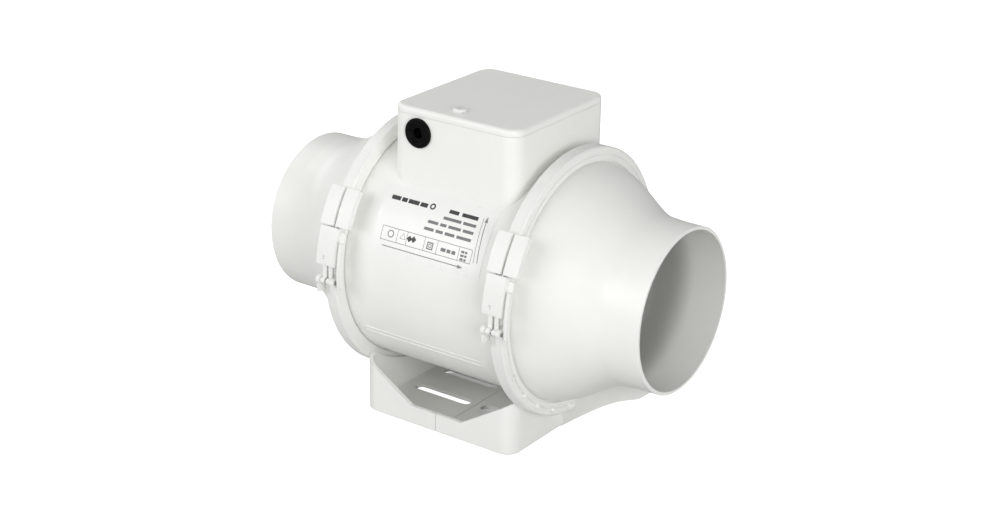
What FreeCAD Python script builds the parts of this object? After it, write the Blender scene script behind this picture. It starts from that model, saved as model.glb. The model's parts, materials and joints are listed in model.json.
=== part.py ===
import FreeCAD, Part
import math
import os

# Mixed-flow inline extractor fan for 100 mm round duct, one solid or group per sub-part.
# Millimetres. Origin at the centre of the foot's underside, +Z up, +X along the duct
# towards the outlet, -Y towards the cable entry and the rating label.
# "r" is a distance from the duct axis; "phi" is the angle about it, from -Y up towards +Z.

# ---- overall ----
AXIS_HEIGHT = 92.5
HALF_LENGTH = 129.0
LID_TOP = 190.0
SEAM_GAP = 0.15

# ---- duct ends: spigot, cone, flange ----
SPIGOT_R = 48.0
SPIGOT_LENGTH = 20.6
SPIGOT_ROOT_R = 48.55
SPIGOT_SEAT_X = 115.3
SPIGOT_CHAMFER = 0.5
SHELL_WALL = 2.55
CONE_MOUTH_R = 69.7
CONE_START_X = 61.0
CONE_START_SLOPE = -0.107
FLANGE_R = 75.0
MATING_X = 57.75
FLANGE_THICK = 2.6
SEAL_HALF = 0.55
SEAL_INNER_R = 69.0
SEAL_OUTER_R = 74.0

# ---- clamp rings ----
RING_R = 78.5
RING_X0 = 53.5
RING_X1 = 62.0
RING_LIP = 0.9
RING_GROOVE_R = 75.4
RING_LIP_R = 70.6
RING_EDGE = 0.8
RING_LINE_R0 = 73.5
RING_LINE_R1 = 74.3
RING_LINE_DEPTH = 0.4
BUMP_COUNT = 10
BUMP_STEP = 13.7
BUMP_R = 74.6
BUMP_SIZE = 1.7

# ---- central casing ----
CASING_R = 70.0
CASING_BORE_R = 67.5
BOX_X0 = -39.0
BOX_X1 = 46.0
BOX_HALF_Y = 45.5
BOX_WALL = 2.5
BOX_CORNER = 9.0
BOX_TOP = 185.9
SIDE_WALL_CUT_Y = 12.0
MOULD_LINE_PHIS = (-30.5, -33.5)
MOULD_LINE_WIDTH = 0.7
MOULD_LINE_HEIGHT = 0.35
MOULD_LINE_SHIFT = 8.0
LABEL_X0 = -37.5
LABEL_X1 = 39.0
LABEL_PHI0 = 14.0
LABEL_PHI1 = 47.0
LABEL_THICK = 0.2

# ---- cover ----
LID_BOTTOM = 186.0
LID_EDGE = 2.2
LID_HOLLOW = 1.6
LIP_CLEARANCE = 0.5
LIP_DEPTH = 2.0
LIP_THICK = 1.6
SEAL_REBATE = 0.9
REBATE_INSET = 1.0
SEAL_OUTSET = 1.3
SEAL_PLAY = 0.1
COVER_SCREW_Y = -33.6
COVER_SCREW_R = 1.6
COVER_SCREW_TIP = 171.0
COVER_HEAD_R = 3.9
COVER_HEAD_HEIGHT = 1.8
COVER_HEAD_EDGE = 1.1
COVER_COLLAR_R = 5.0
COVER_BOSS_R = 4.2
COVER_BOSS_BORE_R = 2.0
COVER_BOSS_BORE_Z = 166.0

# ---- foot ----
FOOT_X = 53.5
FOOT_Y = 54.0
FOOT_WALL = 2.5
FOOT_BASE = 2.2
FOOT_HEIGHT = 36.0
FOOT_CORNER = 9.0
FOOT_EDGE = 1.4
NOTCH_HALF = 18.0
NOTCH_Z = 11.7
NOTCH_TOP_X = 54.0
NOTCH_TOP_Z = 34.0
SLOT_X = 24.0
SLOT_Y = 14.0
SLOT_LENGTH = 40.0
SLOT_R = 3.75
KEEL_THICK = 5.0
KEEL_UNDERSIDE = ((FOOT_X, 0.0), (72.0, 14.5), (86.0, 26.0), (101.0, 31.0))
KEEL_TAIL = ((101.0, 31.0), (106.5, 32.8), (112.0, 38.0), (114.5, 46.0))
KEEL_ROOT_Z = 30.0
TONGUE_Y = 34.0
TONGUE_HALF_X = 7.0
TONGUE_HALF_Y = 8.0
TONGUE_TOP = 5.1
JOIN_SCREW_X = 3.8
JOIN_SCREW_YS = (-4.5, 4.5)
JOIN_SCREW_R = 1.4
JOIN_SCREW_TIP = 0.8
JOIN_HEAD_R = 2.6
JOIN_HEAD_HEIGHT = 1.6

# ---- latches: x offsets run from the ring's middle ----
PIN_PHI = -2.5
PIN_CENTRE_R = 80.8
PIN_R = 1.2
PIN_FIT = 0.05
PIN_X0 = -6.5
PIN_X1 = 6.0
LUG_R = 2.6
LUG_SPANS = ((PIN_X0, -4.0), (3.5, PIN_X1))
BARREL_R = 1.9
BARREL_SPANS = ((-3.7, -0.9), (0.6, 3.2))
LEG_TOP_R = 80.0
LATCH_TOP_R = 82.2
LATCH_BASE_R = 79.1
SHELF_TOP_R = 80.2
PAD_X0 = -6.75
PAD_X1 = 6.25
PAD_PHI0 = 4.5
PAD_PHI1 = 20.3
RAIL_X0 = 8.25
RAIL_X1 = 10.25
DIMPLE_X = -1.75
DIMPLE_PHI = 7.6
KEEPER_X0 = -7.75
KEEPER_X1 = 12.25
KEEPER_PHI0 = 20.9
KEEPER_PHI1 = 37.0
KEEPER_FOOT_R = 77.6
KEEPER_OVERHANG_X = 4.6
SLIT_X0 = 1.45
SLIT_X1 = 3.05
SLIT_FLOOR_R = 79.0
SPINE_GAP = 0.3
CATCH_PHI0 = 24.2
CATCH_PHI1 = 25.4

# ---- strap hinges on the rear side ----
HINGE_CENTRE_R = 81.0
HINGE_EYE_R = 2.2
HINGE_LOWER_SPANS = ((-6.25, -2.4), (2.4, 6.25))
HINGE_UPPER_SPAN = (-2.1, 2.1)
HINGE_ROOT_PHI0 = 0.3
HINGE_ROOT_PHI1 = 5.0

# ---- motor ----
SHAFT_R = 4.0
SHAFT_X0 = -58.0
SHAFT_X1 = 50.0
HUB_R = 36.0
HUB_WALL = 2.4
HUB_X0 = 0.0
HUB_X1 = 46.0
HUB_FRONT_WALL = 3.0
SEAT_WALL = 2.4
VANE_RING_R = 65.6
VANE_RING_X0 = 3.0
VANE_RING_X1 = 45.0
VANE_COUNT = 8
VANE_FACE = ((7.0, 9.0), (24.0, 1.2), (43.0, -1.0))
VANE_BACK = ((43.0, 0.6), (24.0, 2.9), (8.2, 10.2))
STATOR_R = 33.4
STATOR_BORE_R = 18.5
STATOR_X0 = 12.0
STATOR_X1 = 36.0
SLOT_COUNT = 12
SLOT_HALF = 1.8
SLOT_MOUTH_HALF = 0.7
TOOTH_TIP = 1.5
YOKE = 4.4
COIL_FRONT = 2.6
COIL_REAR = 5.0
COIL_EDGE = 0.9
ROTOR_R = 18.0
BEARING_R = 11.0
BEARING_WIDTH = 6.0
INNER_RACE_R = 6.2
SHIELD_R = 6.7
SHIELD_BACK_R = 8.8
SHIELD_THICK = 0.5
FRONT_BEARING_X = 3.0
REAR_BEARING_X = 42.0
DOME_OUTSIDE = ((2.0, 36.0), (5.5, 30.0), (7.5, 19.0), (8.0, 0.0))
DOME_INSIDE = ((1.0, 31.0), (3.5, 27.0), (5.3, 18.0), (5.6, 0.0))
DOME_SCREW_COUNT = 3
DOME_SCREW_PLACE_R = 31.8
DOME_SCREW_R = 1.5
DOME_HEAD_R = 2.6

# ---- impeller ----
BLADE_COUNT = 9
IMPELLER_X0 = -50.0
IMPELLER_X1 = -6.0
HUB_FRONT_R = 15.0
HUB_BACK_R = 35.0
HUB_SHELL_WALL = 2.2
HUB_ROUND = 2.0
HUB_NOSE_WALL = 3.0
BOSS_R = 8.0
BOSS_X1 = -14.0
WEB_COUNT = 6
WEB_HALF = 1.0
WEB_ROOM = ((-46.0, 0.0), (-16.0, 0.0), (-16.0, 28.6), (-46.0, 15.1))
TIP_FRONT_R = 52.0
TIP_BACK_R = 65.0
BLADE_HALF = 0.9
BLADE_SECTIONS = ((12.0, 62.0, 44.0, -29.0), (40.0, 42.0, 44.0, -28.0), (68.0, 27.0, 46.0, -27.0))
WASHER_R = 8.5
WASHER_THICK = 1.0
NUT_R = 7.0
NUT_HEIGHT = 5.5

# ---- terminal box contents ----
GROMMET_X = -19.6
GROMMET_Z = 176.2
GROMMET_R = 8.6
GROMMET_FRONT = 1.7
GROMMET_EDGE = 0.7
GROMMET_NECK_R = 7.0
GROMMET_BACK_R = 7.4
GROMMET_BACK = 1.5
DISH_R = 6.0
DISH_FLOOR_R = 5.0
DISH_DEPTH = 1.0
MEMBRANE_BACK = 2.2
POCKET_R = 5.6
CABLE_R = 3.2
CLAMP_HALF_X = 9.0
CLAMP_Y0 = -31.0
CLAMP_Y1 = -25.0
CLAMP_FLOOR = GROMMET_Z - CABLE_R - 0.5
CLAMP_GRIP = GROMMET_Z + CABLE_R - 0.6
CLAMP_BAR = 2.5
CLAMP_SCREW_X = 6.5
CLAMP_SCREW_R = 1.2
CLAMP_HEAD_R = 2.2
CLAMP_HEAD_HEIGHT = 1.4
CLAMP_SPACER_HALF = 2.4
PLINTH_TOP = 165.0
BLOCK_X0 = -30.5
BLOCK_X1 = 2.5
BLOCK_HALF_Y = 7.5
BLOCK_TOP = 170.0
TERMINAL_XS = (-26.0, -18.0, -10.0, -2.0)
TOWER_HALF_X = 3.3
TOWER_HALF_Y = 6.0
TOWER_TOP = 177.0
TERMINAL_SCREW_Y = 2.8
TERMINAL_SCREW_R = 1.9
TERMINAL_WELL_R = 2.0
TERMINAL_WELL_Z = 171.0
WIRE_HOLE_R = 1.2
WIRE_HOLE_Z = 172.5
CAPACITOR_X = 31.0
CAPACITOR_Z = 172.8
CAPACITOR_R = 8.0
CAPACITOR_HALF = 18.0
CAPACITOR_EDGE = 1.2
CLIP_THICK = 1.0
CLIP_HALF = 4.0
CLIP_MOUTH_HALF = 4.5
CLIP_MOUTH_Z = 176.0
CLIP_PLINTH_TOP = 164.6
LEAD_X = 16.0
LEAD_R = 2.4
LEAD_TOP = 168.0
LEAD_BUSH_WALL = 1.4
LEAD_BUSH_RIM = 3.0
LEAD_BUSH_RISE = 1.6
WIRE_R = 0.6
WIRE_BEND = 4.0
WIRE_ENDS = ((-1.4, 173.4), (0.0, 175.0), (1.4, 173.4))

X_DIR = FreeCAD.Vector(1, 0, 0)
Y_DIR = FreeCAD.Vector(0, 1, 0)
Z_DIR = FreeCAD.Vector(0, 0, 1)
AXIS_POINT = FreeCAD.Vector(0, 0, AXIS_HEIGHT)
NO_MOVE = FreeCAD.Vector(0, 0, 0)
BIG = 400.0


# ---------------------------------------------------------------- helpers
def point(x, y, z):
    return FreeCAD.Vector(x, y, z)


def box(x0, x1, y0, y1, z0, z1):
    return Part.makeBox(x1 - x0, y1 - y0, z1 - z0, point(x0, y0, z0))


def spin(face, degrees=360.0):
    """Solid of revolution of a face about the duct axis."""
    return face.revolve(AXIS_POINT, X_DIR, degrees)


def profile_face(xr_points):
    """Face in the plane y = 0 from (x, r) corners."""
    corners = [point(x, 0, AXIS_HEIGHT + r) for x, r in xr_points]
    return Part.Face(Part.makePolygon(corners + corners[:1]))


def tube(x0, x1, r_inner, r_outer):
    """Ring about the duct axis."""
    return spin(profile_face([(x0, r_inner), (x1, r_inner), (x1, r_outer), (x0, r_outer)]))


def rod(x0, x1, radius, y=0.0, z=AXIS_HEIGHT):
    """Cylinder along X."""
    return Part.makeCylinder(radius, x1 - x0, point(x0, y, z), X_DIR)


def along_y(x, y0, y1, z, radius):
    """Cylinder along Y."""
    return Part.makeCylinder(radius, y1 - y0, point(x, y0, z), Y_DIR)


def post(x, y, z0, z1, radius):
    """Cylinder along Z."""
    return Part.makeCylinder(radius, z1 - z0, point(x, y, z0), Z_DIR)


def prism_xz(xz_points, y0, y1):
    """Solid between y0 and y1 with an outline given in x and z."""
    corners = [point(x, y0, z) for x, z in xz_points]
    return Part.Face(Part.makePolygon(corners + corners[:1])).extrude(point(0, y1 - y0, 0))


def on_arc(x, r, phi):
    angle = math.radians(phi)
    return point(x, -r * math.cos(angle), AXIS_HEIGHT + r * math.sin(angle))


def sector(x0, x1, r0, r1, phi0, phi1):
    """Block bounded by two radii and two angles about the duct axis."""
    middle = 0.5 * (phi0 + phi1)
    outer = Part.Arc(on_arc(x0, r1, phi0), on_arc(x0, r1, middle), on_arc(x0, r1, phi1)).toShape()
    end = Part.makeLine(on_arc(x0, r1, phi1), on_arc(x0, r0, phi1))
    inner = Part.Arc(on_arc(x0, r0, phi1), on_arc(x0, r0, middle), on_arc(x0, r0, phi0)).toShape()
    start = Part.makeLine(on_arc(x0, r0, phi0), on_arc(x0, r1, phi0))
    return Part.Face(Part.Wire([outer, end, inner, start])).extrude(point(x1 - x0, 0, 0))


def rounded_prism(x0, x1, y0, y1, z0, z1, radius):
    """Upright block whose four vertical edges are rounded."""
    block = box(x0, x1, y0, y1, z0, z1)
    upright = [edge for edge in block.Edges if abs(edge.tangentAt(edge.FirstParameter).z) > 0.9]
    return block.makeFillet(radius, upright)


def round_edges(shape, radius, wanted):
    """Fillet the edges for which wanted(edge) is true."""
    return shape.makeFillet(radius, [edge for edge in shape.Edges if wanted(edge)])


def fused(shapes):
    """Join solids into one and drop the seams between them."""
    return shapes[0].multiFuse(shapes[1:]).removeSplitter()


def mirrored_x(shape):
    return shape.mirror(NO_MOVE, X_DIR)


def mirrored_y(shape):
    return shape.mirror(NO_MOVE, Y_DIR)


def turned(shape, degrees):
    """Copy turned about the duct axis."""
    copy = shape.copy()
    copy.rotate(AXIS_POINT, X_DIR, degrees)
    return copy


def moved(shape, x, y, z):
    copy = shape.copy()
    copy.translate(point(x, y, z))
    return copy


# ---------------------------------------------------------------- duct ends
def cone_edge(drop, reverse=False):
    """S-shaped flank from the flange to the spigot, moved inwards by drop."""
    end_x = HALF_LENGTH - SPIGOT_LENGTH
    third = (end_x - CONE_START_X) / 3.0
    curve = Part.BezierCurve()
    poles = [
        (CONE_START_X, CONE_MOUTH_R),
        (CONE_START_X + third, CONE_MOUTH_R + third * CONE_START_SLOPE),
        (end_x - third, SPIGOT_ROOT_R),
        (end_x, SPIGOT_ROOT_R),
    ]
    if reverse:
        poles.reverse()
    curve.setPoles([point(x, 0, AXIS_HEIGHT + r - drop) for x, r in poles])
    return curve.toShape()


def chain(first_edge, xr_points, last_edge=None):
    """Closed face: an edge, straight runs through the points, and a closing edge."""
    edges = [first_edge]
    corners = [first_edge.valueAt(first_edge.LastParameter)]
    corners += [point(x, 0, AXIS_HEIGHT + r) for x, r in xr_points]
    if last_edge is None:
        corners.append(first_edge.valueAt(first_edge.FirstParameter))
    else:
        corners.append(last_edge.valueAt(last_edge.FirstParameter))
        edges.append(last_edge)
    for start, end in zip(corners, corners[1:]):
        edges.append(Part.makeLine(start, end))
    if last_edge is not None:
        edges.append(Part.makeLine(last_edge.valueAt(last_edge.LastParameter),
                                   first_edge.valueAt(first_edge.FirstParameter)))
    return Part.Face(Part.Wire(Part.__sortEdges__(edges)))


def duct_end():
    """Outlet side: flange, cone, tapered root and plain spigot as one thin shell."""
    bore_r = SPIGOT_ROOT_R - SHELL_WALL
    spigot_points = [
        (SPIGOT_SEAT_X, SPIGOT_R),
        (HALF_LENGTH - SPIGOT_CHAMFER, SPIGOT_R),
        (HALF_LENGTH, SPIGOT_R - SPIGOT_CHAMFER),
        (HALF_LENGTH, bore_r),
    ]
    skin = spin(chain(cone_edge(0.0), spigot_points, cone_edge(SHELL_WALL, reverse=True)))
    face_x = MATING_X + SEAL_HALF
    mouth_r = CONE_MOUTH_R - SHELL_WALL
    throat = tube(face_x, CONE_START_X, mouth_r, CONE_MOUTH_R)
    flange = tube(face_x, face_x + FLANGE_THICK, mouth_r, FLANGE_R)
    return fused([skin, throat, flange])


def duct_end_room():
    """The outlet cone filled solid and grown a little, for cutting what lies under it."""
    clearance = 0.1
    return spin(chain(cone_edge(-clearance), [
        (HALF_LENGTH, SPIGOT_ROOT_R + clearance),
        (HALF_LENGTH, 0.0),
        (CONE_START_X, 0.0),
    ]))


def flange_seal(side):
    """Flat rubber ring between a casing flange and a duct end's flange."""
    seal = tube(MATING_X - SEAL_HALF, MATING_X + SEAL_HALF, SEAL_INNER_R, SEAL_OUTER_R)
    return seal if side > 0 else mirrored_x(seal)


# ---------------------------------------------------------------- clamp rings
def clamp_ring(side):
    """Whole ring around one pair of flanges; side is +1 at the outlet, -1 at the inlet."""
    groove_x0 = RING_X0 + RING_LIP
    groove_x1 = RING_X1 - RING_LIP
    line_floor = RING_X1 - RING_LINE_DEPTH
    outline = [
        (RING_X0, RING_LIP_R), (groove_x0, RING_LIP_R),
        (groove_x0, RING_GROOVE_R), (groove_x1, RING_GROOVE_R),
        (groove_x1, RING_LIP_R), (RING_X1, RING_LIP_R),
        (RING_X1, RING_LINE_R0), (line_floor, RING_LINE_R0),
        (line_floor, RING_LINE_R1), (RING_X1, RING_LINE_R1),
        (RING_X1, RING_R - RING_EDGE), (RING_X1 - RING_EDGE, RING_R),
        (RING_X0 + RING_EDGE, RING_R), (RING_X0, RING_R - RING_EDGE),
    ]
    ring = spin(profile_face(outline))
    return ring if side > 0 else mirrored_x(ring)


def ring_bumps(side):
    """Small round nibs on the outboard face of the lower half ring."""
    beyond_flange = box(RING_X1 - RING_LIP, BIG, -BIG, BIG, -BIG, BIG)
    nibs = []
    for index in range(BUMP_COUNT):
        phi = -90.0 + (index - 0.5 * (BUMP_COUNT - 1)) * BUMP_STEP
        nib = Part.makeSphere(BUMP_SIZE, on_arc(RING_X1, BUMP_R, phi)).common(beyond_flange)
        nibs.append(nib if side > 0 else mirrored_x(nib))
    return nibs


def ring_middle(side):
    """The x of a clamp ring's middle; latches keep one orientation at both rings."""
    return side * MATING_X


def keeper(side):
    """Slotted block on the upper strap that the latch's spine drops into."""
    x0 = ring_middle(side)
    top_r = LATCH_TOP_R - 0.2
    block = sector(x0 + KEEPER_X0, x0 + KEEPER_X1, KEEPER_FOOT_R, top_r, KEEPER_PHI0, KEEPER_PHI1)
    under = sector(x0 + KEEPER_OVERHANG_X, x0 + KEEPER_X1 + 1.0, KEEPER_FOOT_R - 1.0, RING_R + 0.1,
                   KEEPER_PHI0 - 1.0, KEEPER_PHI1 + 1.0)
    slit = sector(x0 + SLIT_X0, x0 + SLIT_X1, SLIT_FLOOR_R, top_r + 1.0, KEEPER_PHI0 - 1.0, KEEPER_PHI1 + 1.0)
    dimple = sector(x0 + SLIT_X0, x0 + SLIT_X1, SLIT_FLOOR_R - 0.5, SLIT_FLOOR_R + 0.1,
                    CATCH_PHI0 - 0.4, CATCH_PHI1 + 0.4)
    return block.cut(under).cut(slit).cut(dimple)


def hinge_rod(x0, x1, radius):
    """Cylinder on the rear strap hinge's line, drawn on the front side."""
    return Part.makeCylinder(radius, x1 - x0, on_arc(x0, HINGE_CENTRE_R, 0.0), X_DIR)


def hinge_eye(side, span, phi0, phi1, bore_r):
    """Eye on the rear hinge's line with a root that reaches into the ring between two angles."""
    low = ring_middle(side) + span[0]
    high = ring_middle(side) + span[1]
    root = sector(low, high, RING_R - 0.7, HINGE_CENTRE_R, phi0, phi1)
    eye = fused([hinge_rod(low, high, HINGE_EYE_R), root])
    return mirrored_y(eye.cut(hinge_rod(low - 1.0, high + 1.0, bore_r)))


def clamp_strap(side):
    """Upper half of a clamp ring: a keeper on the front, a hinge knuckle on the rear."""
    upper = box(-BIG, BIG, -BIG, BIG, AXIS_HEIGHT + SEAM_GAP, BIG)
    half = clamp_ring(side).common(upper)
    knuckle = hinge_eye(side, HINGE_UPPER_SPAN, HINGE_ROOT_PHI0, HINGE_ROOT_PHI1, PIN_R + PIN_FIT)
    return fused([half, keeper(side), knuckle])


def pin_rod(x0, x1, radius):
    """Cylinder on the latch's hinge line."""
    return Part.makeCylinder(radius, x1 - x0, on_arc(x0, PIN_CENTRE_R, PIN_PHI), X_DIR)


def latch_lugs(side):
    """Two eyes on the lower half ring that carry the latch's hinge pin."""
    x0 = ring_middle(side)
    eyes = []
    for low, high in LUG_SPANS:
        eye = pin_rod(x0 + low, x0 + high, LUG_R)
        root = sector(x0 + low, x0 + high, RING_R - 2.0, PIN_CENTRE_R + 1.6, PIN_PHI - 5.0, PIN_PHI - 0.5)
        cheek = sector(x0 + low, x0 + high, RING_R - 1.5, PIN_CENTRE_R, PIN_PHI - 2.0, PIN_PHI + 1.5)
        eyes.append(fused([eye, root, cheek]).cut(pin_rod(x0 + low - 1.0, x0 + high + 1.0, PIN_R)))
    return eyes


def latch_lever(side):
    """Hinged pad with a side rail, and a sunken spine whose catch drops into the keeper."""
    x0 = ring_middle(side)
    pad = sector(x0 + PAD_X0, x0 + PAD_X1, LATCH_BASE_R, LATCH_TOP_R, PAD_PHI0, PAD_PHI1)
    dimple = Part.makeCylinder(1.0, 4.0, on_arc(x0 + DIMPLE_X, LATCH_TOP_R - 1.0, DIMPLE_PHI),
                               on_arc(0, 1, DIMPLE_PHI) - AXIS_POINT)
    shelf_top = SHELF_TOP_R
    upper_shelf = sector(x0 + PAD_X1 - 0.75, x0 + RAIL_X1, LATCH_BASE_R, shelf_top, PAD_PHI0 + 0.1, PAD_PHI1 - 1.3)
    lower_shelf = sector(x0 + PIN_X1 + 0.4, x0 + RAIL_X1, LATCH_BASE_R, shelf_top, PIN_PHI - 1.5, PAD_PHI0 + 0.5)
    rail = sector(x0 + RAIL_X0, x0 + RAIL_X1, LATCH_BASE_R, LATCH_TOP_R, PIN_PHI - 1.5, PAD_PHI1 - 5.3)
    spine_x0 = x0 + SLIT_X0 + SPINE_GAP
    spine_x1 = x0 + SLIT_X1 - SPINE_GAP
    spine = sector(spine_x0, spine_x1, SLIT_FLOOR_R + 0.2, SHELF_TOP_R, PAD_PHI1 - 0.5, CATCH_PHI1 + 0.6)
    catch = sector(spine_x0, spine_x1, SLIT_FLOOR_R - 0.2, SLIT_FLOOR_R + 0.5, CATCH_PHI0, CATCH_PHI1)
    pieces = [pad.cut(dimple), upper_shelf, lower_shelf, rail, spine, catch]
    for low, high in BARREL_SPANS:
        pieces.append(pin_rod(x0 + low, x0 + high, BARREL_R))
        pieces.append(sector(x0 + low, x0 + high, LATCH_BASE_R, LEG_TOP_R, PIN_PHI, PAD_PHI0 + 0.5))
    return fused(pieces).cut(pin_rod(x0 - 9.0, x0 + 9.0, PIN_R + PIN_FIT))


def hinge_pins():
    """The four equal pins: one per latch at the front, one per strap hinge at the rear."""
    pins = []
    for side in (-1, 1):
        x0 = ring_middle(side)
        pins.append(pin_rod(x0 + PIN_X0, x0 + PIN_X1, PIN_R))
        pins.append(mirrored_y(hinge_rod(x0 + HINGE_LOWER_SPANS[0][0], x0 + HINGE_LOWER_SPANS[1][1], PIN_R)))
    return Part.makeCompound(pins)


# ---------------------------------------------------------------- foot
def foot_tray():
    """Outlet half of the hollow foot, open on top and at the seam."""
    outer = rounded_prism(-FOOT_X, FOOT_X, -FOOT_Y, FOOT_Y, 0.0, FOOT_HEIGHT, FOOT_CORNER)
    outer = round_edges(outer, FOOT_EDGE, lambda edge: edge.BoundBox.ZMax < 0.01)
    inner = rounded_prism(-FOOT_X + FOOT_WALL, FOOT_X - FOOT_WALL, -FOOT_Y + FOOT_WALL,
                          FOOT_Y - FOOT_WALL, FOOT_BASE, FOOT_HEIGHT + 1.0,
                          FOOT_CORNER - FOOT_WALL)
    tray = outer.cut(inner).common(box(SEAM_GAP, BIG, -BIG, BIG, -1.0, BIG))
    above_wall = [
        (-1.0, NOTCH_Z), (NOTCH_HALF, NOTCH_Z), (NOTCH_TOP_X, NOTCH_TOP_Z),
        (NOTCH_TOP_X, FOOT_HEIGHT + 9.0), (-1.0, FOOT_HEIGHT + 9.0),
    ]
    tray = tray.cut(prism_xz(above_wall, -FOOT_Y - 5.0, FOOT_Y + 5.0))
    return tray.cut(rod(-1.0, FOOT_X + 1.0, FLANGE_R - 1.0))


def mounting_slot(x, y):
    half = 0.5 * SLOT_LENGTH - SLOT_R
    return fused([
        box(x - half, x + half, y - SLOT_R, y + SLOT_R, -1.0, FOOT_BASE + 1.0),
        post(x - half, y, -1.0, FOOT_BASE + 1.0, SLOT_R),
        post(x + half, y, -1.0, FOOT_BASE + 1.0, SLOT_R),
    ])


def keel():
    """Upright rib under the cone, from the foot's end wall to the root of the spigot."""
    bottom = Part.BezierCurve()
    bottom.setPoles([point(x, 0, z) for x, z in KEEL_UNDERSIDE])
    tail = Part.BezierCurve()
    tail.setPoles([point(x, 0, z) for x, z in KEEL_TAIL])
    end_x, end_z = KEEL_TAIL[-1]
    inside_wall = FOOT_X - 1.0
    into_cone = end_z + 14.0
    corners = [point(end_x, 0, end_z), point(end_x, 0, into_cone), point(inside_wall, 0, KEEL_ROOT_Z),
               point(inside_wall, 0, 0.0), point(FOOT_X, 0, 0.0)]
    edges = [bottom.toShape(), tail.toShape()]
    for start, end in zip(corners, corners[1:]):
        edges.append(Part.makeLine(start, end))
    outline = Part.Face(Part.Wire(Part.__sortEdges__(edges)))
    rib = moved(outline.extrude(point(0, KEEL_THICK, 0)), 0, -0.5 * KEEL_THICK, 0)
    flange_room = rod(RING_X0 + RING_LIP, CONE_START_X + 0.1, RING_GROOVE_R)
    casing_room = rod(0.0, RING_X0 + RING_LIP + 0.01, RING_LIP_R)
    return rib.cut(duct_end_room()).cut(flange_room).cut(casing_room)


def foot_half(side):
    """Half foot, lower half ring, keel, latch eyes and strap hinge eyes moulded as one."""
    base = [foot_tray(), keel()]
    if side < 0:
        base = [mirrored_x(shape) for shape in base]
    lower = box(-BIG, BIG, -BIG, BIG, -BIG, AXIS_HEIGHT - SEAM_GAP)
    half_ring = clamp_ring(side).common(lower)
    rear_eyes = [hinge_eye(side, span, -HINGE_ROOT_PHI1, -HINGE_ROOT_PHI0, PIN_R)
                 for span in HINGE_LOWER_SPANS]
    body = fused(base + [half_ring] + ring_bumps(side) + latch_lugs(side) + rear_eyes)
    for slot_y in (-SLOT_Y, SLOT_Y):
        body = body.cut(mounting_slot(side * SLOT_X, slot_y))
    if side < 0:
        return fused([body, joining_tongue()]).cut(joining_screw_holes())
    return body.cut(joining_screw_holes())


def joining_tongue():
    """Lap on the inlet half that reaches over the outlet half's base."""
    y0 = TONGUE_Y - TONGUE_HALF_Y
    y1 = TONGUE_Y + TONGUE_HALF_Y
    lap = box(-TONGUE_HALF_X, TONGUE_HALF_X, y0, y1, FOOT_BASE + 0.1, TONGUE_TOP)
    root = box(-TONGUE_HALF_X, -SEAM_GAP, y0, y1, FOOT_BASE - 1.0, FOOT_BASE + 0.2)
    return fused([lap, root])


def joining_screw_holes():
    """Room for the two screws down through the tongue into the outlet half."""
    return Part.makeCompound([post(JOIN_SCREW_X, TONGUE_Y + y, JOIN_SCREW_TIP, TONGUE_TOP, JOIN_SCREW_R)
                              for y in JOIN_SCREW_YS])


def screw(x, y, tip_z, seat_z, shank_r, head_r, head_height, edge=0.0):
    """Upright screw with a cross recess in its head; edge rounds the head's rim."""
    head_top = seat_z + head_height
    head = post(x, y, seat_z, head_top, head_r)
    if edge > 0.0:
        head = round_edges(head, edge, lambda rim: rim.BoundBox.ZMin > head_top - 0.1)
    body = fused([post(x, y, tip_z, seat_z + 0.1, shank_r), head])
    reach = 0.62 * head_r
    half = 0.18 * reach
    floor = head_top - 0.55 * head_height
    along = box(x - reach, x + reach, y - half, y + half, floor, head_top + 1.0)
    across = box(x - half, x + half, y - reach, y + reach, floor, head_top + 1.0)
    return body.cut(along).cut(across)


def foot_joining_screws():
    return Part.makeCompound([
        screw(JOIN_SCREW_X, TONGUE_Y + y, JOIN_SCREW_TIP, TONGUE_TOP, JOIN_SCREW_R, JOIN_HEAD_R, JOIN_HEAD_HEIGHT)
        for y in JOIN_SCREW_YS])


# ---------------------------------------------------------------- central casing
def motor_casing():
    """Barrel with a flange at each end and two raised mould lines low on its front."""
    end_x = MATING_X - SEAL_HALF
    barrel = rod(-end_x, end_x, CASING_R)
    flanges = [rod(-end_x, -end_x + FLANGE_THICK, FLANGE_R), rod(end_x - FLANGE_THICK, end_x, FLANGE_R)]
    ribs = [sector(BOX_X0 - MOULD_LINE_SHIFT, BOX_X1 - MOULD_LINE_SHIFT, CASING_R - 0.5,
                   CASING_R + MOULD_LINE_HEIGHT, phi, phi + MOULD_LINE_WIDTH)
            for phi in MOULD_LINE_PHIS]
    body = fused([barrel] + flanges + ribs)
    body = body.cut(rod(-end_x - 1.0, end_x + 1.0, CASING_BORE_R))
    bush_low = AXIS_HEIGHT + CASING_BORE_R - 5.0
    bush_high = AXIS_HEIGHT + CASING_R + 3.0
    return body.cut(post(LEAD_X, 0.0, bush_low, bush_high, LEAD_R + LEAD_BUSH_WALL))


def wall_runs(walls):
    """The box's walls as touching solids: four corners, plain runs, and quarters round the cable hole."""
    left = BOX_X0 + BOX_CORNER
    right = BOX_X1 - BOX_CORNER
    front = -BOX_HALF_Y + BOX_CORNER
    rear = BOX_HALF_Y - BOX_CORNER
    cells = [box(x0, x1, y0, y1, -BIG, BIG)
             for x0, x1 in ((-BIG, left), (right, BIG))
             for y0, y1 in ((-BIG, front), (front, -SIDE_WALL_CUT_Y), (-SIDE_WALL_CUT_Y, SIDE_WALL_CUT_Y),
                            (SIDE_WALL_CUT_Y, rear), (rear, BIG))]
    cells.append(box(left, right, rear, BIG, -BIG, BIG))
    cells += [box(x0, x1, -BIG, front, z0, z1)
              for x0, x1 in ((left, GROMMET_X), (GROMMET_X, right))
              for z0, z1 in ((-BIG, GROMMET_Z), (GROMMET_Z, BIG))]
    return [walls.common(cell) for cell in cells]


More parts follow.
